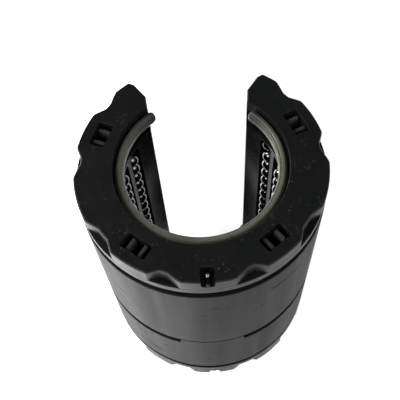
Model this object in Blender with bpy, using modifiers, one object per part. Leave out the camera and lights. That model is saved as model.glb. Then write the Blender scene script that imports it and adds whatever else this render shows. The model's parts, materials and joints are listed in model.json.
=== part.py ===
"""Open linear ball bushing for a 38.1 mm shaft, standing on one end.

The bore runs along Z, the slot faces +Y, and the origin is the bottom centre of the
bounding box. Angles are measured from the slot's centre line, positive towards +X.
"""
import math

import bmesh
import bpy
from mathutils import Vector

MM = 0.001

# Envelope
OUTER_R = 30.1625 * MM
LENGTH = 76.2 * MM
SHAFT_R = 19.05 * MM
GAP = 0.3 * MM

# Slot: parallel faces, flared a little, chamfered, then cut blunt at the tips
SLOT_HALF = 12.15 * MM
SLOT_START_Y = 8.0 * MM
SLOT_FLARE_START_Y = 15.5 * MM
SLOT_FLARE_HALF = 12.6 * MM
SLOT_FLARE_Y = 20.3 * MM
SLOT_TIP_HALF = 15.4 * MM
SLOT_TIP_Y = 24.1 * MM
SLOT_TIP_DEG = 61.5

# End cap
CAP_R = 30.0 * MM
CAP_BORE_R = 20.8 * MM
CAP_THICK = 6.25 * MM
CAP_LIP = 3.9 * MM
CAP_EDGE = 0.5 * MM
SEAL_SEAT_R = 22.95 * MM
WINDOW_DEGS = (-143.0, -67.5, 67.5, 143.0)
WINDOW_R = 25.35 * MM
WINDOW_LONG = 6.5 * MM
WINDOW_WIDE = 3.7 * MM
NOTCHES = ((50.8, -9.3, -1.4, 1.4, 7.7), (84.5, -7.3, -1.2, 1.2, 9.5),
           (126.3, -10.5, -3.0, 3.0, 9.5), (159.7, -6.2, -1.4, 1.4, 9.0))
NOTCH_R = 28.4 * MM
NOTCH_DEEP = 4.0 * MM
KEYWAY_R = 26.1 * MM
KEYWAY_WIDE = 3.2 * MM
KEYWAY_DEEP = 2.6 * MM
KEY_PIN_R = 0.65 * MM
KEY_PIN_AT = 27.5 * MM
KEY_PIN_TOP = 1.1 * MM

# Outer shell halves
GROOVE_END = 8.65 * MM
NECK_R = 28.6 * MM
SHELL_BORE_R = 26.2 * MM
FLANGE_TOP = CAP_THICK + GAP
FLANGE_THICK = 1.25 * MM
FLANGE_BORE_R = 21.0 * MM
SEAM_Z = 33.4 * MM
SEAM_HAIRLINE = 0.3 * MM
SEAM_GAP = 2.6 * MM
SEAM_TAB_HALF_DEG = 16.5
SPIGOT_R = 27.6 * MM
SPIGOT_LONG = 3.0 * MM
PRONG_TOP = 0.9 * MM
PRONG_APART = 3.3 * MM
PRONG_THICK = 1.0 * MM
PRONG_LONG = 3.0 * MM

# Seal ring
SEAL_R = 20.06 * MM
SEAL_CREST_R = 19.3 * MM
SEAL_LIP_R = 18.05 * MM
SEAL_FACE = 1.5 * MM
SEAL_FLANGE_R = 22.3 * MM
SEAL_FLANGE_TOP = 4.2 * MM
SEAL_FLANGE_BOTTOM = 5.95 * MM
SEAL_SIDE = 0.35 * MM
SEAL_END_HALF_DEG = 38.4
SEAL_TURN_DEG = -1.9

# Balls and their circuits
BALL_R = 3.96875 / 2 * MM
PITCH = 4.0 * MM
STRAIGHT = 24.0 * MM
RETURN_BALLS = 13
LOADED_BALLS = {1: 12, -1: 13}
TURN_BALL_DEG = {1: 50.0, -1: 90.0}
LOAD_R = SHAFT_R + BALL_R
RETURN_R = 23.9 * MM
PLATE_DEGS = (68.0, 140.0, -140.0, -68.0)
LOAD_OFF_DEG = 8.5
RETURN_OFF_DEG = 21.5
BEAD_NECK_R = 0.5 * MM

# Cage
CAGE_R = 25.85 * MM
CAGE_BORE_R = 19.45 * MM
CAGE_HALF = LENGTH / 2 - FLANGE_TOP - FLANGE_THICK - GAP
TRACK_HALF = 2.15 * MM
LIP_HALF = 1.95 * MM
LIP_TOP_R = 19.9 * MM
RETURN_FLOOR_R = 21.6 * MM
TURN_FLOOR_R = 19.85 * MM
TRACK_END = STRAIGHT + 4.5 * MM
TURN_END = STRAIGHT + 5.2 * MM
THROUGH_R = 27.5 * MM

# Load plates
PLATE_BORE_R = 23.35 * MM
PLATE_CROWN_R = 25.85 * MM
PLATE_END_R = 25.5 * MM
PLATE_HALF_LONG = 22.2 * MM
PLATE_HALF_WIDE = 5.4 * MM
PLATE_POCKET_R = 23.05 * MM

# Facets
RING_STEPS = 48
BALL_STEPS = 6
MERGE = 0.00001


def on_circle(radius, degrees, height=0.0):
    """Point at a radius and an angle from the slot's centre line."""
    angle = math.radians(degrees)
    return Vector((radius * math.sin(angle), radius * math.cos(angle), height))


def tip_at(radius):
    """Where the blunt cut of the slot's tip meets a circle about the bore axis."""
    angle = math.radians(SLOT_TIP_DEG)
    along = Vector((math.sin(angle), math.cos(angle)))
    start = Vector((SLOT_TIP_HALF, SLOT_TIP_Y))
    mid = start.dot(along)
    reach = math.sqrt(mid * mid - start.length_squared + radius * radius) - mid
    return start + along * reach


BORE_Y = (OUTER_R - tip_at(OUTER_R).y) / 2


def clear_scene():
    for obj in list(bpy.data.objects):
        bpy.data.objects.remove(obj, do_unlink=True)


def new_collection(name):
    collection = bpy.data.collections.new(name)
    bpy.context.scene.collection.children.link(collection)
    return collection


def new_material(name, colour, roughness, metallic=0.0):
    material = bpy.data.materials.new(name)
    material.use_nodes = True
    shader = material.node_tree.nodes["Principled BSDF"]
    shader.inputs["Base Color"].default_value = (*colour, 1.0)
    shader.inputs["Roughness"].default_value = roughness
    shader.inputs["Metallic"].default_value = metallic
    return material


def new_empty(name, parent=None, location=(0, 0, 0), rotation=(0, 0, 0)):
    empty = bpy.data.objects.new(name, None)
    PARTS.objects.link(empty)
    empty.empty_display_size = 5 * MM
    empty.parent = parent
    empty.location = location
    empty.rotation_euler = rotation
    return empty


def mesh_object(name, fill, parent, material=None, location=(0, 0, 0), rotation=(0, 0, 0)):
    """Object from a function that fills a bmesh; with no material it is a cutter."""
    mesh = bpy.data.meshes.new(name)
    shape = bmesh.new()
    fill(shape)
    shape.to_mesh(mesh)
    shape.free()
    obj = bpy.data.objects.new(name, mesh)
    if material is None:
        CUTTERS.objects.link(obj)
        obj.hide_render = True
        obj.display_type = "WIRE"
    else:
        PARTS.objects.link(obj)
        mesh.materials.append(material)
    obj.parent = parent
    obj.location = location
    obj.rotation_euler = rotation
    return obj


def fill_prism(outline, low, high):
    """Filler for a flat outline raised from one height to another."""
    def fill(shape):
        face = shape.faces.new([shape.verts.new((x, y, low)) for x, y in outline])
        raised = bmesh.ops.extrude_face_region(shape, geom=[face])["geom"]
        top = [item for item in raised if isinstance(item, bmesh.types.BMVert)]
        bmesh.ops.translate(shape, vec=(0, 0, high - low), verts=top)
        bmesh.ops.recalc_face_normals(shape, faces=shape.faces)
    return fill


def radial_box(name, degrees, inner, outer, half_wide, low, high, parent, side=0.0,
               material=None):
    """Box that points out from the bore axis at an angle, moved sideways by side."""
    outline = [(side - half_wide, inner), (side + half_wide, inner),
               (side + half_wide, outer), (side - half_wide, outer)]
    turn = (0, 0, -math.radians(degrees))
    return mesh_object(name, fill_prism(outline, low, high), parent, material, rotation=turn)


def turned(name, profile, parent, material, steps=RING_STEPS, closed=True, smooth_deg=35,
           location=(0, 0, 0), rotation=(0, 0, 0)):
    """Profile of radius and height, run down its outer side, turned about Z."""
    def fill(shape):
        points = [shape.verts.new((radius, 0, height)) for radius, height in profile]
        for start, end in zip(points, points[1:]):
            shape.edges.new((start, end))
        if closed:
            shape.edges.new((points[-1], points[0]))
    obj = mesh_object(name, fill, parent, material, location, rotation)
    screw = obj.modifiers.new("turn", "SCREW")
    screw.steps = steps
    screw.render_steps = steps
    screw.use_merge_vertices = True
    screw.merge_threshold = MERGE
    screw.use_smooth_shade = True
    set_smooth(obj, smooth_deg)
    return obj


def set_smooth(obj, degrees):
    obj.data.shade_smooth()
    obj.data.set_sharp_from_angle(angle=math.radians(degrees))


def boolean(obj, cutter, operation="DIFFERENCE"):
    step = obj.modifiers.new(f"{operation.lower()} {cutter.name}", "BOOLEAN")
    step.operation = operation
    step.solver = "EXACT"
    step.object = cutter


def slot_cutter(name, parent, low, high):
    """Prism of the open slot, with the cuts of its tips carried past the outside."""
    beyond = tip_at(OUTER_R + 4 * MM)
    half = [(SLOT_HALF, SLOT_START_Y), (SLOT_HALF, SLOT_FLARE_START_Y),
            (SLOT_FLARE_HALF, SLOT_FLARE_Y), (SLOT_TIP_HALF, SLOT_TIP_Y),
            (beyond.x, beyond.y), (beyond.x, OUTER_R + 4 * MM)]
    outline = half + [(-x, y) for x, y in reversed(half)]
    return mesh_object(name, fill_prism(outline, low, high), parent)


def notch_cutter(name, hand, notch, parent):
    """Shallow notch: a ramp, a short flat floor and another ramp; hand mirrors it."""
    centre, first_rim, first_floor, last_floor, last_rim = notch
    first = notch_ramp(hand, centre + first_floor, centre + first_rim)
    last = notch_ramp(hand, centre + last_floor, centre + last_rim)
    middle = on_circle(CAP_R + 2 * MM, hand * centre)
    outline = [(point.x, point.y) for point in (*first, middle, *reversed(last))]
    return mesh_object(name, fill_prism(outline, -NOTCH_DEEP, 1.0 * MM), parent)


def notch_ramp(hand, floor_deg, rim_deg):
    """Ramp from the notch floor out to the cap's rim, and on past it."""
    floor = on_circle(NOTCH_R, hand * floor_deg)
    rim = on_circle(CAP_R, hand * rim_deg)
    return [floor, rim + (rim - floor) * 0.5]


def make_end_cap(side, end, material):
    """C-shaped cap with latch windows, edge notches and a keyway."""
    profile = [(CAP_R - CAP_EDGE, 0), (CAP_R, -CAP_EDGE), (CAP_R, -CAP_THICK),
               (SEAL_SEAT_R, -CAP_THICK), (SEAL_SEAT_R, -CAP_LIP), (CAP_BORE_R, -CAP_LIP),
               (CAP_BORE_R, -CAP_EDGE), (CAP_BORE_R + CAP_EDGE, 0)]
    cap = turned(f"{side}_end_cap", profile, end, material)
    boolean(cap, slot_cutter(f"{side}_cap_slot", end, -10 * MM, 5 * MM))
    for number, degrees in enumerate(WINDOW_DEGS, 1):
        window = radial_box(f"{side}_window_{number}", degrees, WINDOW_R - WINDOW_WIDE / 2,
                            WINDOW_R + WINDOW_WIDE / 2, WINDOW_LONG / 2, -10 * MM, 1 * MM, end)
        boolean(cap, window)
    for notch in NOTCHES:
        for hand, where in ((1, "right"), (-1, "left")):
            name = f"{side}_notch_{where}_{round(notch[0])}"
            boolean(cap, notch_cutter(name, hand, notch, end))
    keyway = radial_box(f"{side}_keyway", 180, KEYWAY_R, CAP_R + 1 * MM, KEYWAY_WIDE / 2,
                        -KEYWAY_DEEP, 1 * MM, end)
    boolean(cap, keyway)
    pin_hole = turned(f"{side}_pin_hole", rod_profile(KEY_PIN_R + GAP, 0, -10 * MM), end, None,
                      steps=12, closed=False, location=on_circle(KEY_PIN_AT, 180))
    boolean(cap, pin_hole)
    return cap


def rod_profile(radius, top, bottom):
    return [(0, top), (radius, top), (radius, bottom), (0, bottom)]


def make_key_pin(side, end, material):
    """Small dowel with a rounded head that keys the cap to the shell."""
    dome = [(KEY_PIN_R * math.sin(math.radians(step)),
             -KEY_PIN_TOP - KEY_PIN_R * (1 - math.cos(math.radians(step))))
            for step in (0, 35, 65, 90)]
    profile = dome + [(KEY_PIN_R, -CAP_THICK), (0, -CAP_THICK)]
    return turned(f"{side}_key_pin", profile, end, material, steps=8, closed=False,
                  location=on_circle(KEY_PIN_AT, 180))


def make_shell(side, end, material, reach, inner_edge):
    """C-shaped shell half with a ring-groove neck, an end flange and latch prongs."""
    flange_under = -FLANGE_TOP - FLANGE_THICK
    profile = [(NECK_R, -FLANGE_TOP), (NECK_R, -GROOVE_END), (OUTER_R - GAP, -GROOVE_END),
               (OUTER_R, -GROOVE_END - GAP), (OUTER_R, -reach), *inner_edge,
               (SHELL_BORE_R, flange_under), (FLANGE_BORE_R, flange_under),
               (FLANGE_BORE_R, -FLANGE_TOP)]
    shell = turned(f"{side}_shell", profile, end, material)
    boolean(shell, slot_cutter(f"{side}_shell_slot", end, -60 * MM, 5 * MM))
    for number, degrees in enumerate(WINDOW_DEGS, 1):
        for sign, hand in ((1, "a"), (-1, "b")):
            prong = radial_box(f"{side}_prong_{number}{hand}", degrees,
                               WINDOW_R - PRONG_LONG / 2, WINDOW_R + PRONG_LONG / 2,
                               PRONG_THICK / 2, -FLANGE_TOP - FLANGE_THICK / 2, -PRONG_TOP,
                               end, side=sign * PRONG_APART / 2)
            boolean(shell, prong, "UNION")
    return shell


def socket_edge(reach):
    """Seam edge with a counterbore that slips over the other half's spigot."""
    socket_r = SPIGOT_R + GAP
    inside = -reach + SPIGOT_LONG + 2 * GAP
    return [(socket_r, -reach), (socket_r, inside), (SHELL_BORE_R, inside)]


def spigot_edge(reach):
    """Seam edge with a spigot that stands past it, inside the other half."""
    tip = -reach - SPIGOT_LONG
    return [(SPIGOT_R, -reach), (SPIGOT_R, tip), (SHELL_BORE_R, tip)]


def cut_seam_gap(shell, end, reach):
    """Lowers the outer wall's seam edge, except for a tab opposite the slot."""
    edge = -reach + SEAM_GAP - SEAM_HAIRLINE
    ring = turned("seam_gap", [(OUTER_R + 1 * MM, edge), (OUTER_R + 1 * MM, -reach - 1 * MM),
                               (SPIGOT_R, -reach - 1 * MM), (SPIGOT_R, edge)], end, None)
    corner = on_circle(40 * MM, 180 - SEAM_TAB_HALF_DEG)
    outline = [(0, 0), (corner.x, corner.y), (-corner.x, corner.y)]
    tab = mesh_object("seam_tab", fill_prism(outline, -reach - 2 * MM, edge + 1 * MM), end)
    boolean(ring, tab)
    boolean(shell, ring)


def make_seal(side, end, material):
    """C-shaped wiper ring with an inner lip and a flange under the cap's lip."""
    profile = [(SEAL_CREST_R, -SEAL_FACE), (SEAL_R, -SEAL_FACE - 0.7 * MM),
               (SEAL_R, -SEAL_FLANGE_TOP), (SEAL_FLANGE_R, -SEAL_FLANGE_TOP),
               (SEAL_FLANGE_R, -SEAL_FLANGE_BOTTOM), (SEAL_R - 1 * MM, -SEAL_FLANGE_BOTTOM),
               (SEAL_LIP_R, -3.6 * MM), (SEAL_LIP_R, -2.2 * MM),
               (SEAL_LIP_R + 0.5 * MM, -SEAL_FACE)]
    turn = math.radians(SEAL_TURN_DEG)
    rest = (SEAL_SIDE, 0, 0)
    seal = turned(f"{side}_seal", profile, end, material, location=rest, rotation=(0, 0, turn))
    far = 40 * MM
    edge = on_circle(far, SEAL_END_HALF_DEG)
    outline = [(0, 0), (edge.x, edge.y), (edge.x, far * 1.5), (-edge.x, far * 1.5),
               (-edge.x, edge.y)]
    cutter = mesh_object(f"{side}_seal_gap", fill_prism(outline, -10 * MM, 5 * MM), end,
                         location=rest, rotation=(0, 0, turn))
    boolean(seal, cutter)
    return seal


def make_cage(middle, circuits, material):
    """C-shaped retainer tube with eight ball circuits and four plate pockets."""
    profile = [(CAGE_R, CAGE_HALF), (CAGE_R, -CAGE_HALF), (CAGE_BORE_R, -CAGE_HALF),
               (CAGE_BORE_R, CAGE_HALF)]
    cage = turned("ball_cage", profile, middle, material)
    boolean(cage, slot_cutter("cage_slot", middle, -40 * MM, 40 * MM))
    for number, degrees in enumerate(PLATE_DEGS, 1):
        pocket = turned(f"plate_pocket_{number}", [
            (THROUGH_R, PLATE_HALF_LONG + GAP), (THROUGH_R, -PLATE_HALF_LONG - GAP),
            (PLATE_POCKET_R, -PLATE_HALF_LONG - GAP), (PLATE_POCKET_R, PLATE_HALF_LONG + GAP)],
            middle, None)
        sector = radial_box(f"plate_pocket_sector_{number}", degrees, 10 * MM, 30 * MM,
                            PLATE_HALF_WIDE + GAP, -30 * MM, 30 * MM, middle)
        boolean(pocket, sector, "INTERSECT")
        boolean(cage, pocket)
    for number, (load_deg, return_deg) in enumerate(circuits, 1):
        lip = radial_box(f"load_lip_{number}", load_deg, 17 * MM, LIP_TOP_R + 0.2 * MM,
                         LIP_HALF, -TRACK_END, TRACK_END, middle)
        track = radial_box(f"load_track_{number}", load_deg, LIP_TOP_R, THROUGH_R, TRACK_HALF,
                           -TRACK_END - 0.05 * MM, TRACK_END + 0.05 * MM, middle)
        back = radial_box(f"return_track_{number}", return_deg, RETURN_FLOOR_R, THROUGH_R,
                          TRACK_HALF, -TRACK_END - 0.1 * MM, TRACK_END + 0.1 * MM, middle)
        for cutter in (lip, track, back):
            boolean(cage, cutter)
        load_at, return_at = turn_frame(load_deg, return_deg)
        half = (return_at - load_at) / 2 + TRACK_HALF - 0.1 * MM
        for sign, side in ((1, "upper"), (-1, "lower")):
            low, high = sorted((sign * STRAIGHT, sign * TURN_END))
            turn = radial_box(f"{side}_turn_{number}", (load_deg + return_deg) / 2,
                              TURN_FLOOR_R, THROUGH_R, half, low, high, middle,
                              side=turn_side(load_deg, return_deg))
            boolean(cage, turn)
    return cage


def turn_frame(load_deg, return_deg):
    """Sideways places of the two tracks, seen along the circuit's middle angle."""
    half_angle = math.radians(abs(return_deg - load_deg)) / 2
    return -LOAD_R * math.sin(half_angle), RETURN_R * math.sin(half_angle)


def turn_side(load_deg, return_deg):
    load_at, return_at = turn_frame(load_deg, return_deg)
    middle = (load_at + return_at) / 2
    return middle if return_deg > load_deg else -middle


def make_load_plate(number, degrees, middle, material):
    """Hardened plate over two ball tracks, crowned at mid-length so that it can rock."""
    pivot = on_circle(PLATE_CROWN_R, degrees)
    rocker = new_empty(f"load_plate_{number}_rocker", middle, pivot)
    profile = [(PLATE_END_R, PLATE_HALF_LONG), (PLATE_CROWN_R, 0),
               (PLATE_END_R, -PLATE_HALF_LONG), (PLATE_BORE_R, -PLATE_HALF_LONG),
               (PLATE_BORE_R, PLATE_HALF_LONG)]
    plate = turned(f"load_plate_{number}", profile, rocker, material, location=-pivot)
    sector = radial_box(f"plate_sector_{number}", degrees, 10 * MM, 30 * MM, PLATE_HALF_WIDE,
                        -30 * MM, 30 * MM, middle)
    boolean(plate, sector, "INTERSECT")
    return plate


def bead_profile(balls, ring_degs):
    """One row of balls, joined by thin necks, from its top pole to its bottom pole."""
    row_end = (balls - 1) / 2 * PITCH
    points = [(0, row_end + BALL_R)]
    for index in range(balls):
        centre = row_end - index * PITCH
        for degrees in ring_degs:
            angle = math.radians(degrees)
            points.append((BALL_R * math.cos(angle), centre + BALL_R * math.sin(angle)))
        if index < balls - 1:
            points.append((BEAD_NECK_R, centre - PITCH / 2))
    return points + [(0, -row_end - BALL_R)]


def make_ball_row(name, degrees, radius, profile, middle, material):
    return turned(name, profile, middle, material, steps=BALL_STEPS, closed=False,
                  smooth_deg=80, location=on_circle(radius, degrees),
                  rotation=(0, 0, math.radians(90 - degrees)))


def make_turn_ball(name, centre, offset, parent, material):
    """Ball part of the way round its turnaround, with its origin at the turnaround's centre."""
    def fill(shape):
        bmesh.ops.create_uvsphere(shape, u_segments=6, v_segments=4, radius=BALL_R)
        bmesh.ops.translate(shape, vec=offset, verts=shape.verts)
    ball = mesh_object(name, fill, parent, material, location=centre)
    set_smooth(ball, 80)
    return ball


def make_circuit(number, load_deg, return_deg, middle, material):
    """Loaded row, returning row and one ball in each turnaround of a circuit."""
    side_x = 1 if load_deg > 0 else -1
    loaded = bead_profile(LOADED_BALLS[side_x], (45, 0, -45))
    returning = bead_profile(RETURN_BALLS, (0,))
    make_ball_row(f"load_balls_{number}", load_deg, LOAD_R, loaded, middle, material)
    make_ball_row(f"return_balls_{number}", return_deg, RETURN_R, returning, middle, material)
    load_at = on_circle(LOAD_R, load_deg)
    return_at = on_circle(RETURN_R, return_deg)
    across = (load_at - return_at) / 2
    up = Vector((0, 0, across.length))
    angle = math.radians(TURN_BALL_DEG[side_x])
    for sign, side in ((1, "upper"), (-1, "lower")):
        centre = (load_at + return_at) / 2 + Vector((0, 0, sign * STRAIGHT))
        offset = across * math.cos(angle) + up * sign * math.sin(angle)
        make_turn_ball(f"{side}_turn_ball_{number}", centre, offset, middle, material)


def main():
    clear_scene()
    polymer = new_material("black_polymer", (0.012, 0.013, 0.014), 0.35)
    rubber = new_material("seal_rubber", (0.2, 0.2, 0.17), 0.5)
    ball_steel = new_material("ball_steel", (0.55, 0.55, 0.57), 0.1, 1.0)
    plate_steel = new_material("plate_steel", (0.45, 0.45, 0.46), 0.3, 1.0)
    pin_steel = new_material("pin_steel", (0.6, 0.6, 0.6), 0.25, 1.0)

    axis = new_empty("bore_axis", location=(0, BORE_Y, 0))
    middle = new_empty("bushing_middle", axis, (0, 0, LENGTH / 2))
    upper = new_empty("upper_end", axis, (0, 0, LENGTH))
    lower = new_empty("lower_end", axis, rotation=(0, math.pi, 0))
    circuits = [(plate + hand * LOAD_OFF_DEG, plate + hand * RETURN_OFF_DEG)
                for plate in PLATE_DEGS for hand in (-1, 1)]

    upper_reach = LENGTH - SEAM_Z - SEAM_HAIRLINE / 2
    lower_reach = SEAM_Z - SEAM_HAIRLINE / 2
    make_shell("upper", upper, polymer, upper_reach, socket_edge(upper_reach))
    lower_shell = make_shell("lower", lower, polymer, lower_reach, spigot_edge(lower_reach))
    cut_seam_gap(lower_shell, lower, lower_reach)
    for side, end in (("upper", upper), ("lower", lower)):
        make_end_cap(side, end, polymer)
        make_key_pin(side, end, pin_steel)
        make_seal(side, end, rubber)
    make_cage(middle, circuits, polymer)
    for number, degrees in enumerate(PLATE_DEGS, 1):
        make_load_plate(number, degrees, middle, plate_steel)
    for number, (load_deg, return_deg) in enumerate(circuits, 1):
        make_circuit(number, load_deg, return_deg, middle, ball_steel)


PARTS = new_collection("linear_ball_bushing")
CUTTERS = new_collection("cutters")
main()
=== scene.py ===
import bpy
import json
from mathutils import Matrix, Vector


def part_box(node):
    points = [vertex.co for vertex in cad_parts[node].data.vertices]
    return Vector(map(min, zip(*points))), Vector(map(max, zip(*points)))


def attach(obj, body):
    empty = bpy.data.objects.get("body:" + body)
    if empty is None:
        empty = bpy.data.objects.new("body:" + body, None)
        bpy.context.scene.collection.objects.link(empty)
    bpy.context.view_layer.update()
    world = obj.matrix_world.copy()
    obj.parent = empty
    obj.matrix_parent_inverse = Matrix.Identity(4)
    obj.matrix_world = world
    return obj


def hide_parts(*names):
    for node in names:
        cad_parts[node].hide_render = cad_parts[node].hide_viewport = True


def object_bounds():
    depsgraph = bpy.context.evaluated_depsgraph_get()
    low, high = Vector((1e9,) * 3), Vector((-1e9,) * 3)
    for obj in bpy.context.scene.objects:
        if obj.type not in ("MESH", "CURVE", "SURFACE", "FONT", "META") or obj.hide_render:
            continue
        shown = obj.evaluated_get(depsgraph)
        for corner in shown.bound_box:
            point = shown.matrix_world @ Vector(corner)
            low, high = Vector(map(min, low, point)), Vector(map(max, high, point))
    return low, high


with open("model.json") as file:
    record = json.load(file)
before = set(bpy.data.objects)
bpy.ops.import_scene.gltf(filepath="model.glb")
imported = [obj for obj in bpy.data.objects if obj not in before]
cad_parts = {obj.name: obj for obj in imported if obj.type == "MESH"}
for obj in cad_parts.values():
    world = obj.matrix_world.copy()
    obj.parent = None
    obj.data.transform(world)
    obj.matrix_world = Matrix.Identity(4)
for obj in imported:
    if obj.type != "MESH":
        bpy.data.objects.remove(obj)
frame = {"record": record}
cad_box = [list(corner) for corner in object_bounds()]

import json
import math

import bmesh
import bpy
from mathutils import Matrix, Quaternion, Vector

MM = 0.001
record = frame["record"]
bore_box = next(o for o in record["physics"]["openings"] if o["name"] == "shaft_bore")["box_m"]
BORE_Y = (bore_box[0][1] + bore_box[1][1]) / 2
LENGTH = cad_box[1][2]
SCENE = bpy.context.scene.collection

# Sizes in millimetres, repeated from the CAD source
OUTER_R = 30.1625
SLOT = [(12.15, 8.0), (12.15, 15.5), (12.6, 20.3), (15.4, 24.1), (18.9, 26.0)]
CAP_R, CAP_BORE_R, CAP_THICK, CAP_LIP = 30.0, 20.8, 6.25, 3.9
SEAL_SEAT_R = 22.95
WINDOW_DEGS = (-143.0, -67.5, 67.5, 143.0)
WINDOW_R, WINDOW_LONG, WINDOW_WIDE = 25.35, 6.5, 3.7
NOTCHES = ((50.8, -9.3, -1.4, 1.4, 7.7), (84.5, -7.3, -1.2, 1.2, 9.5),
           (126.3, -10.5, -3.0, 3.0, 9.5), (159.7, -6.2, -1.4, 1.4, 9.0))
NOTCH_R, NOTCH_DEEP = 28.4, 4.0
KEYWAY_R, KEYWAY_WIDE, KEYWAY_DEEP = 26.1, 3.2, 2.6
KEY_PIN_R, KEY_PIN_AT, KEY_PIN_TOP = 0.65, 27.5, 1.1
GROOVE_END, NECK_R, SHELL_BORE_R = 8.65, 28.6, 26.2
FLANGE_TOP, FLANGE_THICK, FLANGE_BORE_R = 6.55, 1.25, 21.0
SEAM_HAIRLINE, SEAM_GAP, SEAM_TAB_DEG = 0.3, 2.6, 16.5
SPIGOT_R, SPIGOT_LONG, CLEAR = 27.6, 3.0, 0.3
PRONG_TOP, PRONG_APART, PRONG_THICK = 0.9, 3.3, 1.0
CAGE_R, CAGE_BORE_R = 25.85, 19.45
BALL_R, PITCH = 1.984375, 4.0

# Sizes in millimetres and degrees that only these finer pieces have
PRONG_LONG = 3.3
KEY_RIB_AT, KEY_RIB_WIDE, KEY_RIB_LONG = 29.2, 0.9, 1.5
CAP_TIP_ROUND, SHELL_TIP_ROUND = 0.35, 0.3
SEAL_START_DEG, SEAL_END_DEG = 38.4, 360 - 37.6
SEAL_TURN_DEG, SEAL_SHIFT = -3.4, 0.25


# ---------------------------------------------------------------- mesh tools
def on_circle(radius, degrees):
    """Point about the bore axis; the angle runs from the slot's middle towards +X."""
    angle = math.radians(degrees)
    return Vector((radius * math.sin(angle), radius * math.cos(angle)))


def slot_point(radius):
    """Where the right-hand slot face stands at a radius."""
    for start, end in zip(SLOT, SLOT[1:]):
        start, end = Vector(start), Vector(end)
        if radius <= end.length:
            break
    along = (end - start).normalized()
    mid = start.dot(along)
    return start + along * (math.sqrt(mid * mid - start.length_squared + radius * radius) - mid)


def mesh_from(name, verts, faces, matrix=None):
    """Closed object from vertices in millimetres and index faces."""
    mesh = bpy.data.meshes.new(name)
    mesh.from_pydata([tuple(c * MM for c in v) for v in verts], [], faces)
    shape = bmesh.new()
    shape.from_mesh(mesh)
    bmesh.ops.remove_doubles(shape, verts=shape.verts, dist=0.002 * MM)
    bmesh.ops.dissolve_degenerate(shape, edges=shape.edges, dist=0.001 * MM)
    bmesh.ops.recalc_face_normals(shape, faces=shape.faces)
    shape.to_mesh(mesh)
    shape.free()
    obj = bpy.data.objects.new(name, mesh)
    SCENE.objects.link(obj)
    if matrix is not None:
        obj.matrix_world = matrix
    return obj


def loft(name, levels, matrix=None):
    """Closed solid through flat loops of (x, y) with heights, all with one point count."""
    count = len(levels[0][1])
    verts = [(x, y, z) for z, loop in levels for x, y in loop]
    faces = [tuple(range(count))]
    for row in range(len(levels) - 1):
        low, high = row * count, (row + 1) * count
        for k in range(count):
            n = (k + 1) % count
            faces.append((low + k, low + n, high + n, high + k))
    top = (len(levels) - 1) * count
    faces.append(tuple(range(top + count - 1, top - 1, -1)))
    return mesh_from(name, verts, faces, matrix)


def inset(loop, amount):
    """Loop moved inwards by an amount, with mitred corners."""
    points = [Vector(p) for p in loop]
    area = sum(a.x * b.y - b.x * a.y for a, b in zip(points, points[1:] + points[:1]))
    sign = 1 if area > 0 else -1
    moved = []
    for before, here, after in zip(points[-1:] + points[:-1], points, points[1:] + points[:1]):
        into, out = here - before, after - here
        into = into if into.length > 1e-7 else out
        out = out if out.length > 1e-7 else into
        a = Vector((-into.y, into.x)).normalized() * sign
        b = Vector((-out.y, out.x)).normalized() * sign
        middle = a + b
        scale = 2 / max(middle.length_squared, 0.6)
        moved.append(here + middle * scale * amount)
    return moved


def rounded(corners, radius, steps=4):
    """Polygon with each corner rounded."""
    points = [Vector(p) for p in corners]
    result = []
    for before, here, after in zip(points[-1:] + points[:-1], points, points[1:] + points[:1]):
        a, b = (before - here), (after - here)
        half = a.angle(b) / 2
        cut = min(radius / math.tan(half), a.length * 0.48, b.length * 0.48)
        start, end = here + a.normalized() * cut, here + b.normalized() * cut
        for k in range(steps + 1):
            t = k / steps
            result.append((1 - t) ** 2 * start + 2 * t * (1 - t) * here + t * t * end)
    return result


def rectangle(wide, high, radius, at=(0, 0), steps=4):
    """Rectangle about a point, with its corners rounded."""
    x, y = at
    w, h = wide / 2, high / 2
    corners = [(x - w, y - h), (x + w, y - h), (x + w, y + h), (x - w, y + h)]
    return rounded(corners, radius, steps)


def apply_modifiers(obj):
    """Replaces an object's mesh by its mesh with modifiers applied."""
    graph = bpy.context.evaluated_depsgraph_get()
    mesh = bpy.data.meshes.new_from_object(obj.evaluated_get(graph))
    obj.modifiers.clear()
    old = obj.data
    obj.data = mesh
    bpy.data.meshes.remove(old)
    mesh.name = obj.name


def carve(obj, cutters, operation="DIFFERENCE"):
    """Cuts or joins solids, and removes them. Cutters given together don't overlap."""
    joined = join(cutters)
    step = obj.modifiers.new("cut", "BOOLEAN")
    step.operation = operation
    step.solver = "EXACT"
    step.object = joined
    bpy.context.view_layer.update()
    apply_modifiers(obj)
    bpy.data.objects.remove(joined, do_unlink=True)


def join(objects):
    """One object from several, in world space."""
    if len(objects) == 1:
        return objects[0]
    shape = bmesh.new()
    bpy.context.view_layer.update()
    for obj in objects:
        mesh = obj.data.copy()
        mesh.transform(obj.matrix_world)
        shape.from_mesh(mesh)
        bpy.data.meshes.remove(mesh)
    mesh = bpy.data.meshes.new("joined")
    shape.to_mesh(mesh)
    shape.free()
    name = objects[0].name
    for obj in objects:
        bpy.data.objects.remove(obj, do_unlink=True)
    joined = bpy.data.objects.new(name, mesh)
    SCENE.objects.link(joined)
    return joined


def smooth(obj, degrees=32):
    """Smooth shading with sharp creases and face-weighted normals."""
    obj.data.shade_smooth()
    obj.data.set_sharp_from_angle(angle=math.radians(degrees))
    weighted = obj.modifiers.new("weighted", "WEIGHTED_NORMAL")
    weighted.keep_sharp = True
    weighted.weight = 80
    return obj


def place(obj, body, material, nodes):
    """Gives a finished piece its material, its body and the CAD nodes it stands for."""
    obj.data.materials.clear()
    obj.data.materials.append(material)
    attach(obj, body)
    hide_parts(*nodes)


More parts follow.
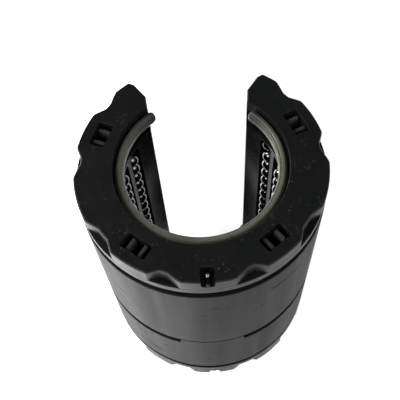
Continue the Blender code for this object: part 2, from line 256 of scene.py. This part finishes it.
# ---------------------------------------------------------------- C-shaped outlines
def arc_degs(start, end, step, extra=()):
    """Even angles with some extra ones, in order."""
    count = max(2, math.ceil((end - start) / step))
    even = [start + (end - start) * k / count for k in range(count + 1)]
    kept = [a for a in even if all(abs(a - e) > step * 0.3 for e in extra)]
    return sorted(kept + list(extra))


def tip_degs(radius):
    """Angle of the right-hand slot face at a radius."""
    point = slot_point(radius)
    return math.degrees(math.atan2(point.x, point.y))


def c_loop(outer, inner, degs, inner_steps=120, tip=0.0):
    """C-shaped loop. outer is a radius or a function of the angle; tip rounds the outer tips."""
    radius_at = outer if callable(outer) else (lambda a: outer)
    edge = radius_at(tip_degs(OUTER_R))
    first = tip_degs(edge)
    span = [first + (a - degs[0]) * (180 - first) / (180 - degs[0]) if a < degs[0] + 4 else a
            for a in degs if a < 180]
    side = [on_circle(radius_at(a), a) for a in span]
    bends = [slot_point(min(max(Vector(corner).length, inner + 0.05 * k), edge - 0.05 * (4 - k)))
             for k, corner in enumerate(SLOT[1:4], 1)]
    right = [slot_point(inner), *bends] + tip_points(side[0], bends[-1], side[1], tip) + side[1:]
    bottom = [on_circle(radius_at(180), 180)]
    left = [Vector((-p.x, p.y)) for p in reversed(right)]
    loop = right + bottom + left
    start = tip_degs(inner)
    for k in range(1, inner_steps):
        loop.append(on_circle(inner, -start - (360 - 2 * start) * k / inner_steps))
    return loop


def tip_points(tip, bend, after, radius):
    """Four points that round the outer tip of the C."""
    a, b = (bend - tip), (after - tip)
    cut_a = min(radius, a.length * 0.45)
    cut_b = min(radius, b.length * 0.9)
    start, end = tip + a.normalized() * cut_a, tip + b.normalized() * cut_b
    return [(1 - t) ** 2 * start + 2 * t * (1 - t) * tip + t * t * end
            for t in (0.0, 0.33, 0.67, 1.0)]


def notch_radius(degrees):
    """Cap outline radius with its shallow ramped notches."""
    radius = CAP_R
    for centre, first_rim, first_floor, last_floor, last_rim in NOTCHES:
        off = abs(degrees) - centre
        floor, rim = (first_floor, first_rim) if off < 0 else (last_floor, last_rim)
        share = (off - floor) / (rim - floor)
        if share < 1:
            radius = min(radius, NOTCH_R + (CAP_R - NOTCH_R) * smooth_ramp(share))
    return radius


def smooth_ramp(share):
    """Straight ramp with its two ends eased."""
    share = min(1.0, max(0.0, share))
    ease = 0.14
    if share < ease:
        return share * share / (2 * ease) / (1 - ease)
    if share > 1 - ease:
        return 1 - (1 - share) ** 2 / (2 * ease) / (1 - ease)
    return (share - ease / 2) / (1 - ease)


def round_levels(z_from, z_to, low, high, steps=3):
    """Insets and heights of a rounded edge: low at the start, high at the end."""
    result = []
    for k in range(steps + 1):
        t = math.pi / 2 * k / steps
        result.append((z_from + (z_to - z_from) * (1 - math.cos(t)),
                       low + (high - low) * math.sin(t)))
    return result


UPPER_END = Matrix.Translation((0, BORE_Y, LENGTH))
LOWER_END = Matrix.Translation((0, BORE_Y, 0)) @ Matrix.Rotation(math.pi, 4, "Y")
MIDDLE = Matrix.Translation((0, BORE_Y, LENGTH / 2))
ENDS = {"upper": UPPER_END, "lower": LOWER_END}


# ---------------------------------------------------------------- pieces
def make_cap(side):
    """End cap: rounded edges, ramped notches, flared windows, and a keyway with a rib."""
    extra = [notch[0] + off for notch in NOTCHES for off in notch[1:]]
    degs = arc_degs(tip_degs(OUTER_R), 180, 1.0, extra)
    levels = []
    for z, amount in round_levels(0, -0.55, 0.5, 0.0, 4):
        edge = c_loop(notch_radius, CAP_BORE_R - 0.6 * amount, degs, tip=CAP_TIP_ROUND)
        levels.append((z, inset(edge, amount)))
    levels.append((-CAP_LIP + 0.3, c_loop(notch_radius, CAP_BORE_R, degs, tip=CAP_TIP_ROUND)))
    levels.append((-CAP_LIP, c_loop(notch_radius, CAP_BORE_R + 0.2, degs, tip=CAP_TIP_ROUND)))
    levels.append((-CAP_LIP, c_loop(notch_radius, SEAL_SEAT_R, degs, tip=CAP_TIP_ROUND)))
    levels.append((-NOTCH_DEEP, c_loop(notch_radius, SEAL_SEAT_R, degs, tip=CAP_TIP_ROUND)))
    levels.append((-NOTCH_DEEP, c_loop(CAP_R - 0.12, SEAL_SEAT_R, degs, tip=CAP_TIP_ROUND)))
    levels.append((-NOTCH_DEEP - 0.12, c_loop(CAP_R, SEAL_SEAT_R, degs, tip=CAP_TIP_ROUND)))
    under = c_loop(CAP_R, SEAL_SEAT_R, degs, tip=CAP_TIP_ROUND)
    levels.append((-CAP_THICK + 0.2, under))
    levels.append((-CAP_THICK, inset(under, 0.15)))
    cap = loft(f"{side}_cap_moulding", levels, ENDS[side])
    cutters = []
    for degrees in WINDOW_DEGS:
        spin = ENDS[side] @ Matrix.Rotation(-math.radians(degrees), 4, "Z")
        flare = [(1.0, 0.12), (0.02, 0.12), (-0.06, 0.05), (-0.2, 0.0), (-7.0, -0.1)]
        cutters.append(loft("window", [
            (z, rectangle(WINDOW_LONG + 2 * wide, WINDOW_WIDE + 2 * wide, 0.45 + wide / 2,
                          (0, WINDOW_R))) for z, wide in flare], spin))
    half = KEYWAY_WIDE / 2
    keyway = [(z, rounded([(-half - w, -KEYWAY_R + w), (half + w, -KEYWAY_R + w),
                           (half + w, -CAP_R - 2), (-half - w, -CAP_R - 2)], 0.7 + w / 2))
              for z, w in ((1.0, 0.12), (0.02, 0.12), (-0.1, 0.04), (-0.3, 0.0),
                           (-KEYWAY_DEEP + 0.7, -0.02), (-KEYWAY_DEEP + 0.2, -0.3),
                           (-KEYWAY_DEEP, -0.75))]
    cutters.append(loft("keyway", keyway, ENDS[side]))
    carve(cap, cutters)
    hole = [(z, circle(KEY_PIN_R + 0.25, 24, (0, -KEY_PIN_AT))) for z in (-1.0, -8.0)]
    carve(cap, [loft("hole", hole, ENDS[side])])
    rib = [(z, rectangle(KEY_RIB_WIDE - 2 * w, KEY_RIB_LONG - 2 * w, 0.4 - w, (0, -KEY_RIB_AT)))
           for z, w in ((-KEYWAY_DEEP - 0.5, 0.0), (-1.9, 0.0), (-1.7, 0.1), (-1.6, 0.3))]
    carve(cap, [loft("rib", rib, ENDS[side])], "UNION")
    return smooth(cap)


def circle(radius, count, at=(0, 0)):
    """Even points on a circle about a point."""
    return [Vector((at[0] + radius * math.cos(math.tau * k / count),
                    at[1] + radius * math.sin(math.tau * k / count))) for k in range(count)]


def make_key_pin(side):
    """Dowel with a domed head, at the bottom of the keyway."""
    levels = [(-KEY_PIN_TOP - KEY_PIN_R * (1 - math.cos(math.radians(a))),
               circle(KEY_PIN_R * math.sin(math.radians(a)), 24, (0, -KEY_PIN_AT)))
              for a in (4, 20, 38, 56, 74, 90)]
    levels.append((-CAP_THICK, levels[-1][1]))
    return smooth(loft(f"{side}_dowel", levels, ENDS[side]), 50)


def shell_levels(reach, seam):
    """Heights and radii of a shell half from its flange to its seam."""
    under = FLANGE_TOP + FLANGE_THICK
    return [(-FLANGE_TOP, NECK_R - 0.2, FLANGE_BORE_R + 0.2),
            (-FLANGE_TOP - 0.2, NECK_R, FLANGE_BORE_R),
            (-under, NECK_R, FLANGE_BORE_R), (-under, NECK_R, SHELL_BORE_R),
            (-GROOVE_END, NECK_R, SHELL_BORE_R), (-GROOVE_END, OUTER_R - 0.35, SHELL_BORE_R),
            (-GROOVE_END - 0.1, OUTER_R - 0.1, SHELL_BORE_R),
            (-GROOVE_END - 0.35, OUTER_R, SHELL_BORE_R),
            (-(GROOVE_END + reach) / 2, OUTER_R, SHELL_BORE_R), *seam]


def make_upper_shell(reach):
    """The seam edge holds the other half's spigot."""
    socket = SPIGOT_R + CLEAR
    inside = -reach + SPIGOT_LONG + 2 * CLEAR
    seam = [(inside, OUTER_R, SHELL_BORE_R), (inside, OUTER_R, socket),
            (-reach + 0.18, OUTER_R, socket), (-reach + 0.05, OUTER_R - 0.06, socket),
            (-reach, OUTER_R - 0.2, socket)]
    return make_shell("upper", shell_levels(reach, seam))


def make_lower_shell(reach):
    """The seam edge stands up as a tab opposite the slot."""
    edge = -reach + SEAM_GAP - SEAM_HAIRLINE

    def wall(tab, rest):
        return lambda a: tab if 180 - a < SEAM_TAB_DEG else rest

    seam = [(edge + 0.2, wall(OUTER_R, OUTER_R), SHELL_BORE_R),
            (edge, wall(OUTER_R, OUTER_R - 0.2), SHELL_BORE_R),
            (edge, wall(OUTER_R, SPIGOT_R), SHELL_BORE_R),
            (-reach + 0.15, wall(OUTER_R, SPIGOT_R), SHELL_BORE_R),
            (-reach, wall(OUTER_R - 0.15, SPIGOT_R), SHELL_BORE_R),
            (-reach, SPIGOT_R, SHELL_BORE_R),
            (-reach - SPIGOT_LONG + 0.2, SPIGOT_R, SHELL_BORE_R),
            (-reach - SPIGOT_LONG, SPIGOT_R - 0.2, SHELL_BORE_R + 0.1)]
    return make_shell("lower", shell_levels(reach, seam))


def make_shell(side, levels):
    """Shell half through its levels, with two latch prongs for each window of the cap."""
    tab = 180 - SEAM_TAB_DEG
    degs = arc_degs(tip_degs(OUTER_R), 180, 1.2, (tab - 0.02, tab + 0.02))
    loops = [(z, c_loop(outer, inner, degs, tip=SHELL_TIP_ROUND)) for z, outer, inner in levels]
    shell = loft(f"{side}_sleeve", loops, ENDS[side])
    prongs = []
    low = -FLANGE_TOP - FLANGE_THICK / 2
    for degrees in WINDOW_DEGS:
        spin = ENDS[side] @ Matrix.Rotation(-math.radians(degrees), 4, "Z")
        for hand in (-1, 1):
            at = (hand * PRONG_APART / 2, WINDOW_R)
            bar = [(low, 0.0), (-PRONG_TOP - 0.4, 0.0), (-PRONG_TOP - 0.18, 0.04),
                   (-PRONG_TOP - 0.04, 0.16), (-PRONG_TOP, 0.32)]
            prongs.append(loft("prong", [
                (z, rectangle(PRONG_THICK - 2 * w, PRONG_LONG - 2 * w, 0.25 - w / 4, at))
                for z, w in bar], spin))
    carve(shell, prongs, "UNION")
    return smooth(shell)


def make_seal(side):
    """Rubber ring with a rounded crest, an inner wiping lip and rounded cut ends."""
    section = rounded([(18.3, -2.6), (18.5, -1.85), (18.8, -1.75), (18.95, -1.85), (19.2, -1.55),
                       (19.85, -1.5), (20.5, -2.2), (20.5, -4.2), (22.0, -4.2), (22.0, -5.95),
                       (19.4, -5.95), (18.35, -3.9)], 0.4, 4)
    centre = Vector((19.3, -3.2))
    round_off, end_size = 0.7, 0.72
    stations = []
    for depth in (0.0, 0.12, 0.35, round_off):
        swell = math.sin(depth / round_off * math.pi / 2)
        stations.append((math.degrees(depth / 19), end_size + (1 - end_size) * swell))
    steps = 170
    span = [(SEAL_START_DEG + a, size) for a, size in stations]
    first, last = span[-1][0], SEAL_END_DEG - stations[-1][0]
    span += [(first + (last - first) * k / steps, 1.0) for k in range(1, steps)]
    span += [(SEAL_END_DEG - a, size) for a, size in reversed(stations)]
    count = len(section)
    verts, faces = [], []
    for degrees, size in span:
        for point in section:
            radius, height = centre + (point - centre) * size
            spot = on_circle(radius, degrees)
            verts.append((spot.x, spot.y, height))
    for row in range(len(span) - 1):
        for k in range(count):
            n = (k + 1) % count
            a, b = row * count, (row + 1) * count
            faces.append((a + k, a + n, b + n, b + k))
    faces.append(tuple(range(count)))
    faces.append(tuple(range((len(span) - 1) * count, len(span) * count)))
    turn = Matrix.Rotation(math.radians(SEAL_TURN_DEG), 4, "Z")
    rest = Matrix.Translation((0, SEAL_SHIFT * MM, 0)) @ turn
    return smooth(mesh_from(f"{side}_wiper", verts, faces, ENDS[side] @ rest), 40)


def radial_loft(name, degrees, sections, side=0.0):
    """Solid along a radius: sections of (radius, loop in the sideways-height plane)."""
    angle = math.radians(degrees)
    out = Vector((math.sin(angle), math.cos(angle), 0))
    across = Vector((math.cos(angle), -math.sin(angle), 0))
    count = len(sections[0][1])
    verts = []
    for radius, loop in sections:
        for t, z in loop:
            point = out * radius + across * (t + side)
            verts.append((point.x, point.y, z))
    faces = [tuple(range(count))]
    for row in range(len(sections) - 1):
        low, high = row * count, (row + 1) * count
        for k in range(count):
            n = (k + 1) % count
            faces.append((low + k, low + n, high + n, high + k))
    last = (len(sections) - 1) * count
    faces.append(tuple(range(last + count - 1, last - 1, -1)))
    return mesh_from(name, verts, faces, MIDDLE)


def polar_of(node):
    """Angle and radius of a CAD node's middle about the bore axis."""
    low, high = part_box(node)
    x, y = (low.x + high.x) / 2 / MM, ((low.y + high.y) / 2 - BORE_Y) / MM
    return math.degrees(math.atan2(x, y)), math.hypot(x, y)


def make_cage():
    """Retainer: plate pockets, lipped ball slots, return tracks and turnarounds."""
    low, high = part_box("ball_cage")
    half = (high.z - low.z) / 2 / MM
    straight, track_end, turn_end = 24.0, 28.5, 29.2
    through = 27.5
    pocket_wide, pocket_long, pocket_floor_r = 11.4, 45.0, 22.75
    slot_wide, track_wide = 3.9, 4.3
    degs = arc_degs(tip_degs(OUTER_R), 180, 2.0)
    levels = []
    for z, ro, ri in ((half, 0.3, 0.45), (half - 0.12, 0.1, 0.15), (half - 0.4, 0, 0),
                      (0, 0, 0), (-half + 0.4, 0, 0), (-half + 0.12, 0.1, 0.15), (-half, 0.3, 0.45)):
        levels.append((z, c_loop(CAGE_R - ro, CAGE_BORE_R + ri, degs, inner_steps=180)))
    cage = loft("ball_retainer", levels, MIDDLE)
    pockets, lips, tracks, backs, turns = [], [], [], [], []
    for number in range(1, 5):
        degrees, _ = polar_of(f"load_plate_{number}")
        pockets.append(radial_loft("pocket", degrees, [
            (r, rectangle(pocket_wide, pocket_long, 0.5, steps=2))
            for r in (pocket_floor_r, through)]))
    for number in range(1, 9):
        load, load_r = polar_of(f"load_balls_{number}")
        back, back_r = polar_of(f"return_balls_{number}")
        lips.append(radial_loft("lip", load, [
            (r, rectangle(slot_wide + 2 * w, 2 * track_end + 2 * w, 1.3, steps=6))
            for r, w in ((17.0, 0.35), (19.1, 0.35), (19.45, 0.12), (19.75, 0.0), (20.3, 0.0))]))
        tracks.append(radial_loft("track", load, [
            (r, rectangle(track_wide, 2 * track_end + 0.1, 1.2, steps=4)) for r in (19.95, through)]))
        backs.append(radial_loft("back", back, [
            (r, rectangle(track_wide, 2 * track_end + 0.2, 1.2, steps=4)) for r in (21.6, through)]))
        half_angle = math.radians(abs(back - load)) / 2
        load_at, back_at = -load_r * math.sin(half_angle), back_r * math.sin(half_angle)
        wide = back_at - load_at + 4.1
        middle = (load_at + back_at) / 2 * (1 if back > load else -1)
        for sign in (1, -1):
            low_z, high_z = sorted((sign * straight, sign * turn_end))
            turns.append(radial_loft("turn", (load + back) / 2, [
                (r, rectangle(wide, high_z - low_z, 0.8, (0, (low_z + high_z) / 2), 3))
                for r in (19.8, through)], middle))
    for group in (pockets, lips, tracks, backs, turns):
        carve(cage, group)
    return smooth(cage)


def make_plate(number):
    """Hardened plate, crowned along its length, with its edges ground round."""
    degrees, _ = polar_of(f"load_plate_{number}")
    half_wide, half_long, crown_r, back_r, fall = 5.4, 22.2, 25.85, 23.35, 0.35
    steps, corner = 12, 0.15
    levels = []
    for z, edge in ((half_long, 0.25), (22.1, 0.08), (21.9, 0), (14, 0), (7, 0), (0, 0), (-7, 0),
                    (-14, 0), (-21.9, 0), (-22.1, 0.08), (-half_long, 0.25)):
        crown = crown_r - fall * abs(z) / half_long - edge
        bore = back_r + edge
        wide = half_wide - edge
        loop = []
        for k in range(steps + 1):
            t = -1 + 2 * k / steps
            loop.append(ring_point(wide * t, crown if abs(t) < 1 else crown - corner))
        for k in range(steps + 1):
            t = 1 - 2 * k / steps
            loop.append(ring_point(wide * t, bore if abs(t) < 1 else bore + corner))
        levels.append((z, loop))
    spin = MIDDLE @ Matrix.Rotation(-math.radians(degrees), 4, "Z")
    return smooth(loft(f"bearing_plate_{number}", levels, spin))


def ring_point(across, radius):
    """Point at a radius and a sideways distance from the middle line."""
    return Vector((across, math.sqrt(radius * radius - across * across)))


def make_balls(name, centres, fine):
    """Separate polished balls in one piece."""
    shape = bmesh.new()
    rings, around = (14, 26) if fine else (9, 16)
    radius = (BALL_R - 0.004) * MM
    origin = centres[0]
    for centre in centres:
        made = bmesh.ops.create_uvsphere(shape, u_segments=around, v_segments=rings, radius=radius)
        bmesh.ops.translate(shape, vec=centre - origin, verts=made["verts"])
    mesh = bpy.data.meshes.new(name)
    shape.to_mesh(mesh)
    shape.free()
    mesh.shade_smooth()
    obj = bpy.data.objects.new(name, mesh)
    SCENE.objects.link(obj)
    obj.location = origin
    return obj


def row_centres(node):
    """Ball centres of a CAD row, from its box."""
    low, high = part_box(node)
    x, y = (low.x + high.x) / 2, (low.y + high.y) / 2
    count = round((high.z - low.z - 2 * BALL_R * MM) / (PITCH * MM)) + 1
    top = high.z - BALL_R * MM
    return [Vector((x, y, top - k * PITCH * MM)) for k in range(count)]


# ---------------------------------------------------------------- materials
class Nodes:
    """Short calls for building a node tree."""

    def __init__(self, name):
        self.material = bpy.data.materials.new(name)
        self.material.use_nodes = True
        self.tree = self.material.node_tree
        self.shader = self.tree.nodes["Principled BSDF"]
        self.place = self.tree.nodes.new("ShaderNodeTexCoord").outputs["Object"]

    def link(self, source, target):
        self.tree.links.new(source, target)

    def along(self, axis):
        """Coordinate in metres along X, Y or Z of the piece's own space."""
        node = self.tree.nodes.new("ShaderNodeSeparateXYZ")
        self.link(self.place, node.inputs[0])
        return node.outputs[axis]

    def mapped(self, scale=(1, 1, 1), turn=(0, 0, 0)):
        node = self.tree.nodes.new("ShaderNodeMapping")
        node.inputs["Scale"].default_value = scale
        node.inputs["Rotation"].default_value = turn
        self.link(self.place, node.inputs["Vector"])
        return node.outputs["Vector"]

    def noise(self, scale, detail=3.0, rough=0.55, vector=None, distortion=0.0):
        node = self.tree.nodes.new("ShaderNodeTexNoise")
        node.inputs["Scale"].default_value = scale
        node.inputs["Detail"].default_value = detail
        node.inputs["Roughness"].default_value = rough
        node.inputs["Distortion"].default_value = distortion
        self.link(vector or self.place, node.inputs["Vector"])
        return node.outputs["Fac"]

    def specks(self, scale, size):
        """Small round dots, one in each cell."""
        node = self.tree.nodes.new("ShaderNodeTexVoronoi")
        node.inputs["Scale"].default_value = scale
        self.link(self.place, node.inputs["Vector"])
        return self.span(node.outputs["Distance"], size, 0.0)

    def distance(self, point):
        node = self.tree.nodes.new("ShaderNodeVectorMath")
        node.operation = "DISTANCE"
        node.inputs[1].default_value = point
        self.link(self.place, node.inputs[0])
        return node.outputs["Value"]

    def span(self, value, low, high, out_low=0.0, out_high=1.0):
        """Maps a range of a value to another range, clamped."""
        node = self.tree.nodes.new("ShaderNodeMapRange")
        for name, number in (("From Min", low), ("From Max", high),
                             ("To Min", out_low), ("To Max", out_high)):
            node.inputs[name].default_value = number
        self.link(value, node.inputs["Value"])
        return node.outputs["Result"]

    def math(self, operation, a, b):
        node = self.tree.nodes.new("ShaderNodeMath")
        node.operation = operation
        for socket, value in zip(node.inputs, (a, b)):
            if isinstance(value, (int, float)):
                socket.default_value = value
            else:
                self.link(value, socket)
        return node.outputs[0]

    def mix(self, amount, a, b):
        node = self.tree.nodes.new("ShaderNodeMix")
        node.data_type = "RGBA"
        self.link(amount, node.inputs["Factor"])
        for name, value in (("A", a), ("B", b)):
            socket = next(s for s in node.inputs if s.name == name and s.type == "RGBA")
            if isinstance(value, tuple):
                socket.default_value = (*value, 1.0)
            else:
                self.link(value, socket)
        return next(s for s in node.outputs if s.type == "RGBA")

    def bump(self, height, strength, distance, under=None):
        node = self.tree.nodes.new("ShaderNodeBump")
        node.inputs["Strength"].default_value = strength
        node.inputs["Distance"].default_value = distance
        self.link(height, node.inputs["Height"])
        if under is not None:
            self.link(under, node.inputs["Normal"])
        return node.outputs["Normal"]

    def finish(self, colour, roughness, normal, metallic=0.0, specular=0.5):
        self.shader.inputs["Metallic"].default_value = metallic
        self.shader.inputs["Specular IOR Level"].default_value = specular
        self.shader.inputs["IOR"].default_value = 1.5
        self.link(colour, self.shader.inputs["Base Color"])
        self.link(roughness, self.shader.inputs["Roughness"])
        self.link(normal, self.shader.inputs["Normal"])
        return self.material


def polymer(name, base, dusty, rough, scuff, grain, specular):
    """Moulded black polymer: mould grain, faint flow, scuffs, dust and handling marks."""
    n = Nodes(name)
    flow = n.span(n.noise(90, 4, 0.6), 0.35, 0.7)
    colour = n.mix(flow, base, tuple(c * 1.5 for c in base))
    patch = n.span(n.noise(160, 2, 0.5), 0.56, 0.72)
    slanted = n.mapped((1.0, 0.18, 0.35), (0.3, 0.2, 0.6))
    streak = n.span(n.noise(500, 5, 0.7, slanted, 1.5), 0.54, 0.7)
    marks = n.math("MULTIPLY", n.math("MULTIPLY", patch, streak), scuff)
    colour = n.mix(marks, colour, dusty)
    dusted = n.span(n.noise(140, 2), 0.52, 0.62, 0.0, 0.9 * scuff)
    dust = n.math("MULTIPLY", n.specks(1000, 0.3), dusted)
    colour = n.mix(dust, colour, tuple(c * 1.6 for c in dusty))
    rub = n.span(n.noise(240, 5, 0.65), 0.3, 0.75, rough - 0.05, rough + 0.07)
    roughness = n.math("ADD", rub, n.math("MULTIPLY", marks, 0.25))
    normal = n.bump(n.noise(5200, 2, 0.5), grain, 0.00004)
    normal = n.bump(n.noise(170, 3, 0.5), 0.18, 0.00012, normal)
    return n.finish(colour, roughness, normal, specular=specular)


def shell_polymer():
    """Semi-gloss sleeve: soft vertical draw marks, short rub marks, and latch prongs that are
    smoother and carry a painted highlight.
    """
    n = Nodes("shell_polymer")
    prong = n.span(n.along("Z"), -FLANGE_TOP * MM, (0.3 - FLANGE_TOP) * MM)
    flow = n.span(n.noise(90, 4, 0.6), 0.35, 0.7)
    colour = n.mix(flow, (0.0095, 0.0095, 0.0098), (0.014, 0.014, 0.0145))
    patch = n.span(n.noise(75, 4, 0.6), 0.53, 0.62)
    rubs = n.noise(300, 5, 0.65, n.mapped((0.3, 0.3, 1.7), (0.12, 0.08, 0.0)), 0.8)
    marks = n.math("MULTIPLY", patch, n.span(rubs, 0.6, 0.68))
    colour = n.mix(marks, colour, (0.006, 0.006, 0.006))
    # painted highlight: the latch prongs get a lighter colour; their lower roughness below gives them
    # real gloss
    colour = n.mix(prong, colour, (0.06, 0.06, 0.062))
    draw = n.noise(210, 3, 0.6, n.mapped((1, 1, 0.06)))
    sheen = n.span(draw, 0.3, 0.7, 0.47, 0.57)
    sheen = n.math("ADD", sheen, n.math("MULTIPLY", marks, 0.4))
    roughness = n.math("SUBTRACT", sheen, n.math("MULTIPLY", prong, 0.25))
    normal = n.bump(n.noise(5200, 2, 0.5), 0.18, 0.00004)
    normal = n.bump(n.noise(170, 3, 0.5), 0.12, 0.00012, normal)
    return n.finish(colour, roughness, normal, specular=0.1)


def rubber():
    """Grey-green elastomer, clouded, with random grime, and painted shade that darkens it towards the
    slot.
    """
    n = Nodes("seal_elastomer")
    cloud = n.span(n.noise(120, 4, 0.6), 0.3, 0.7)
    colour = n.mix(cloud, (0.138, 0.141, 0.101), (0.192, 0.196, 0.143))
    # painted shade: the rubber is darkened towards the slot
    painted_shade_towards_slot = n.span(n.along("Y"), 6.591 * MM, 14.591 * MM, 0.0, 0.85)
    colour = n.mix(painted_shade_towards_slot, colour, (0.03, 0.03, 0.025))
    grime = n.span(n.noise(300, 4, 0.7), 0.56, 0.8, 0.0, 0.6)
    colour = n.mix(grime, colour, (0.05, 0.05, 0.035))
    roughness = n.span(n.noise(420, 3), 0.3, 0.7, 0.3, 0.46)
    normal = n.bump(n.noise(3200, 3, 0.6), 0.25, 0.00005)
    return n.finish(colour, roughness, normal)


def steel(name, low, high, rough, brushed):
    """Oiled steel in two tones, polished or brushed lengthways."""
    n = Nodes(name)
    tone = n.span(n.noise(220, 4, 0.6), 0.3, 0.7)
    colour = n.mix(tone, low, high)
    lines = n.noise(900, 3, 0.6, n.mapped((1, 1, 0.04) if brushed else (1, 1, 1)))
    roughness = n.span(lines, 0.3, 0.7, rough * 0.8, rough * 1.3)
    normal = n.bump(lines, 0.15 if brushed else 0.02, 0.00003)
    return n.finish(colour, roughness, normal, metallic=1.0)


CAP_BLACK = polymer("cap_polymer", (0.009, 0.0095, 0.0097), (0.06, 0.062, 0.06),
                    rough=0.42, scuff=0.9, grain=0.5, specular=0.22)
SHELL_BLACK = shell_polymer()
CAGE_BLACK = polymer("cage_polymer", (0.007, 0.0075, 0.0085), (0.03, 0.03, 0.03),
                     rough=0.22, scuff=0.4, grain=0.25, specular=0.04)
SEAL_RUBBER = rubber()
BALL_STEEL = steel("ball_steel", (0.17, 0.17, 0.175), (0.26, 0.26, 0.265), rough=0.1, brushed=False)
PLATE_STEEL = steel("plate_steel", (0.3, 0.3, 0.31), (0.5, 0.5, 0.5), rough=0.3, brushed=True)
PIN_STEEL = steel("pin_steel", (0.45, 0.45, 0.45), (0.65, 0.65, 0.64), rough=0.25, brushed=True)


# ---------------------------------------------------------------- assembly
for side in ("upper", "lower"):
    place(make_cap(side), "housing", CAP_BLACK, [f"{side}_end_cap"])
    place(make_seal(side), f"{side}_seal", SEAL_RUBBER, [f"{side}_seal"])
    place(make_key_pin(side), "housing", PIN_STEEL, [f"{side}_key_pin"])
seam_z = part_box("upper_shell")[0].z / MM
upper_reach = LENGTH / MM - seam_z
lower_reach = seam_z - SEAM_HAIRLINE
place(make_upper_shell(upper_reach), "housing", SHELL_BLACK, ["upper_shell"])
place(make_lower_shell(lower_reach), "housing", SHELL_BLACK, ["lower_shell"])
place(make_cage(), "housing", CAGE_BLACK, ["ball_cage"])
for number in range(1, 5):
    node = f"load_plate_{number}"
    place(make_plate(number), node, PLATE_STEEL, [node])
for number in range(1, 9):
    for kind, fine in (("load", True), ("return", False)):
        node = f"{kind}_balls_{number}"
        balls = make_balls(f"{kind}_row_{number}", row_centres(node), fine)
        place(balls, node, BALL_STEEL, [node])
    for side in ("upper", "lower"):
        node = f"{side}_turn_ball_{number}"
        low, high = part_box(node)
        ball = make_balls(f"{side}_turning_ball_{number}", [(low + high) / 2], True)
        place(ball, node, BALL_STEEL, [node])


# ---------------------------------------------------------------- stage, lights, camera
def floor_material():
    """Pale table with painted light: it glows more to the left, and a painted shade leaves it hardly
    glowing inside the bore.
    """
    n = Nodes("light_table")
    n.shader.inputs["Base Color"].default_value = (0.25, 0.25, 0.25, 1)
    n.shader.inputs["Roughness"].default_value = 0.7
    left_glow, right_glow, shaded_bore_glow = 3.1, 0.94, 0.03
    # painted light: the table's glow falls off from a bright left to the right
    across = n.span(n.along("X"), -0.05, 0.005, left_glow, right_glow)
    # painted shade: a soft-edged disc under the bore that hardly glows
    bore = n.span(n.distance((0, BORE_Y - 0.004, 0)), 0.0175, 0.0205, shaded_bore_glow, 1.0)
    glow = n.math("MULTIPLY", across, bore)
    n.shader.inputs["Emission Color"].default_value = (1, 1, 1, 1)
    n.link(glow, n.shader.inputs["Emission Strength"])
    return n.material


def make_floor():
    """Square table just under the part."""
    mesh = bpy.data.meshes.new("light_table")
    half = 0.6
    mesh.from_pydata([(-half, -half, 0), (half, -half, 0), (half, half, 0), (-half, half, 0)],
                     [], [(0, 1, 2, 3)])
    floor = bpy.data.objects.new("light_table", mesh)
    SCENE.objects.link(floor)
    floor.location = (0, 0, -0.0003)
    mesh.materials.append(floor_material())


def area_light(name, position, target, size, power):
    """Rectangular light that faces a point."""
    light = bpy.data.lights.new(name, "AREA")
    light.shape = "RECTANGLE"
    light.size, light.size_y = size
    light.energy = power
    obj = bpy.data.objects.new(name, light)
    SCENE.objects.link(obj)
    obj.location = position
    obj.rotation_euler = (Vector(target) - Vector(position)).to_track_quat("-Z", "Y").to_euler()


def make_world():
    """Studio surroundings, bright at the horizon and dim overhead."""
    world = bpy.data.worlds.new("studio")
    bpy.context.scene.world = world
    world.use_nodes = True
    nodes, links = world.node_tree.nodes, world.node_tree.links
    background = nodes["Background"]
    background.inputs["Color"].default_value = (0.95, 0.975, 1.0, 1)
    direction = nodes.new("ShaderNodeTexCoord").outputs["Generated"]
    height = nodes.new("ShaderNodeSeparateXYZ")
    fade = nodes.new("ShaderNodeMapRange")
    for name, number in (("From Min", 0.1), ("From Max", 0.4), ("To Min", 0.85), ("To Max", 0.06)):
        fade.inputs[name].default_value = number
    links.new(direction, height.inputs[0])
    links.new(height.outputs["Z"], fade.inputs["Value"])
    links.new(fade.outputs["Result"], background.inputs["Strength"])


def make_camera():
    """Camera in front of the part and well above it, turned a little about its view."""
    eye = Vector((0.00087566, -0.08067435, 0.21279065))
    azimuth, down, roll = (math.radians(a) for a in (-1.18963, 61.74568, -4.70695))
    forward = Vector((math.sin(azimuth) * math.cos(down), math.cos(azimuth) * math.cos(down),
                      -math.sin(down)))
    lens = bpy.data.cameras.new("camera")
    lens.lens, lens.sensor_width, lens.clip_start = 61.6375, 36, 0.01
    camera = bpy.data.objects.new("camera", lens)
    SCENE.objects.link(camera)
    camera.location = eye
    camera.rotation_mode = "QUATERNION"
    camera.rotation_quaternion = Quaternion(forward, -roll) @ forward.to_track_quat("-Z", "Y")
    bpy.context.scene.camera = camera


make_world()
make_floor()
centre = (0, 0, LENGTH * 0.7)
area_light("left_softbox", (-0.45, -0.35, 0.4), centre, (0.3, 0.4), 1.6)
area_light("right_softbox", (0.35, -0.3, 0.4), centre, (0.45, 0.45), 0.9)
area_light("left_back_strip", (-0.45, 0.1, 0.35), centre, (0.06, 0.2), 1.4)
make_camera()
bpy.context.scene.view_settings.view_transform = "Standard"
